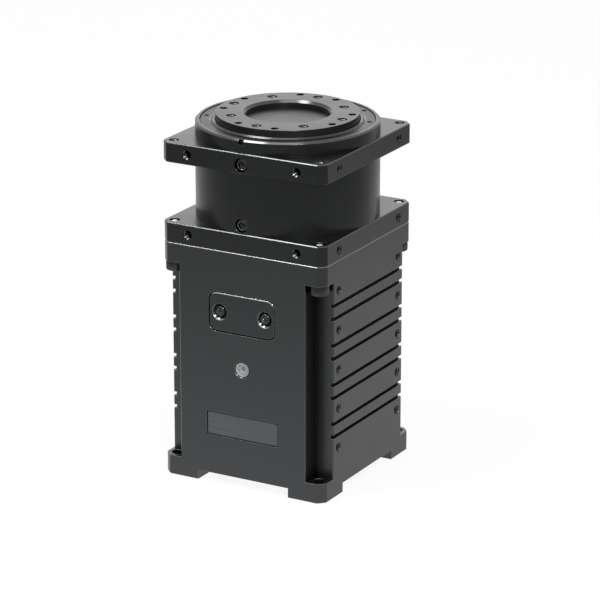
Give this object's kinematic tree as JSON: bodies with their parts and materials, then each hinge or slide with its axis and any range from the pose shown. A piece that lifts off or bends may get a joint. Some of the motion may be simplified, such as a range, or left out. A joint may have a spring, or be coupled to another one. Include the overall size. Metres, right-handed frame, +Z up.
{
  "type": "robot joint actuator",
  "caption": "Square robot joint actuator with a round gear barrel between two flanges, a drilled output horn, threaded side rows and four feet.",
  "frame": {"origin": "middle of the square base, at the level of the undersides of the feet", "axes": "+Z up along the output axis towards the horn; -Y out of the front with the lamp and the access cover; +X to the right of the front"},
  "size_m": [0.054, 0.054, 0.108],
  "materials": {
    "anodised_black": "black anodised, fine bead-blasted and machined",
    "bearing_steel": "ground bearing steel",
    "board_green": "glass epoxy board with green solder mask",
    "bolt_black": "black oxide alloy steel",
    "brass": "nickel free brass",
    "capacitor_sleeve": "shrink sleeve",
    "chip_black": "moulded epoxy",
    "copper": "enamelled copper wire",
    "cover_black": "black anodised plate",
    "gear_steel": "hardened gear steel, ground",
    "label_metal": "satin plate, left bare",
    "led_resin": "clear resin",
    "lens_grey": "milky polycarbonate",
    "magnet_nickel": "nickel plated magnet",
    "motor_aluminium": "turned aluminium",
    "ring_black": "black oxide, faintly rough turned steel",
    "seal_rubber": "nitrile rubber lip",
    "socket_white": "moulded nylon",
    "stator_steel": "varnished laminations"
  },
  "bodies": {
    "housing": {"access_cover": "cover_black", "base_cover": "cover_black", "base_cover_screws": "bolt_black", "bearing_housing": "anodised_black", "bearing_race": "bearing_steel", "bearing_retainer": "ring_black", "board_nuts": "brass", "board_standoffs": "brass", "capacitors": "capacitor_sleeve", "controller_board": "board_green", "controller_chip": "chip_black", "corner_bolts": "bolt_black", "cover_screws": "bolt_black", "data_sockets": "socket_white", "encoder_chip": "chip_black", "gear_housing": "anodised_black", "label_plate": "label_metal", "lamp_lens": "lens_grey", "lock_screws": "bolt_black", "lower_flange": "anodised_black", "motor_bearings": "bearing_steel", "motor_can": "motor_aluminium", "motor_case": "anodised_black", "motor_plate": "motor_aluminium", "output_seal": "seal_rubber", "power_board": "board_green", "power_socket": "socket_white", "power_transistors": "chip_black", "stator_coils": "copper", "stator_core": "stator_steel", "status_led": "led_resin"},
    "output": {"output_horn": "anodised_black", "horn_cap": "anodised_black", "output_pins": "gear_steel", "pin_carrier": "gear_steel"},
    "input": {"input_shaft": "gear_steel", "rotor_magnet": "magnet_nickel", "encoder_magnet": "magnet_nickel"},
    "disc_lower": {"cycloid_disc_lower": "gear_steel"},
    "disc_upper": {"cycloid_disc_upper": "gear_steel"},
    "rollers": {"bearing_rollers": "bearing_steel"}
  },
  "joints": [
    {"name": "output_spin", "type": "hinge", "parent": "housing", "child": "output", "pos_m": [0, 0, 0.09], "axis": [0, 0, 1], "continuous": true},
    {"name": "input_spin", "type": "hinge", "parent": "housing", "child": "input", "pos_m": [0, 0, 0.09], "axis": [0, 0, 1], "continuous": true},
    {"name": "disc_lower_turn", "type": "hinge", "parent": "input", "child": "disc_lower", "pos_m": [0.001, 0, 0.09], "axis": [0, 0, 1], "continuous": true},
    {"name": "disc_upper_turn", "type": "hinge", "parent": "input", "child": "disc_upper", "pos_m": [-0.001, 0, 0.09], "axis": [0, 0, 1], "continuous": true},
    {"name": "roller_orbit", "type": "hinge", "parent": "housing", "child": "rollers", "pos_m": [0, 0, 0.09], "axis": [0, 0, 1], "continuous": true}
  ],
  "couplings": [
    {"joint": "input_spin", "follows": "output_spin", "ratio": -11},
    {"joint": "disc_lower_turn", "follows": "output_spin", "ratio": 12},
    {"joint": "disc_upper_turn", "follows": "output_spin", "ratio": 12},
    {"joint": "roller_orbit", "follows": "output_spin", "ratio": 0.46258}
  ]
}
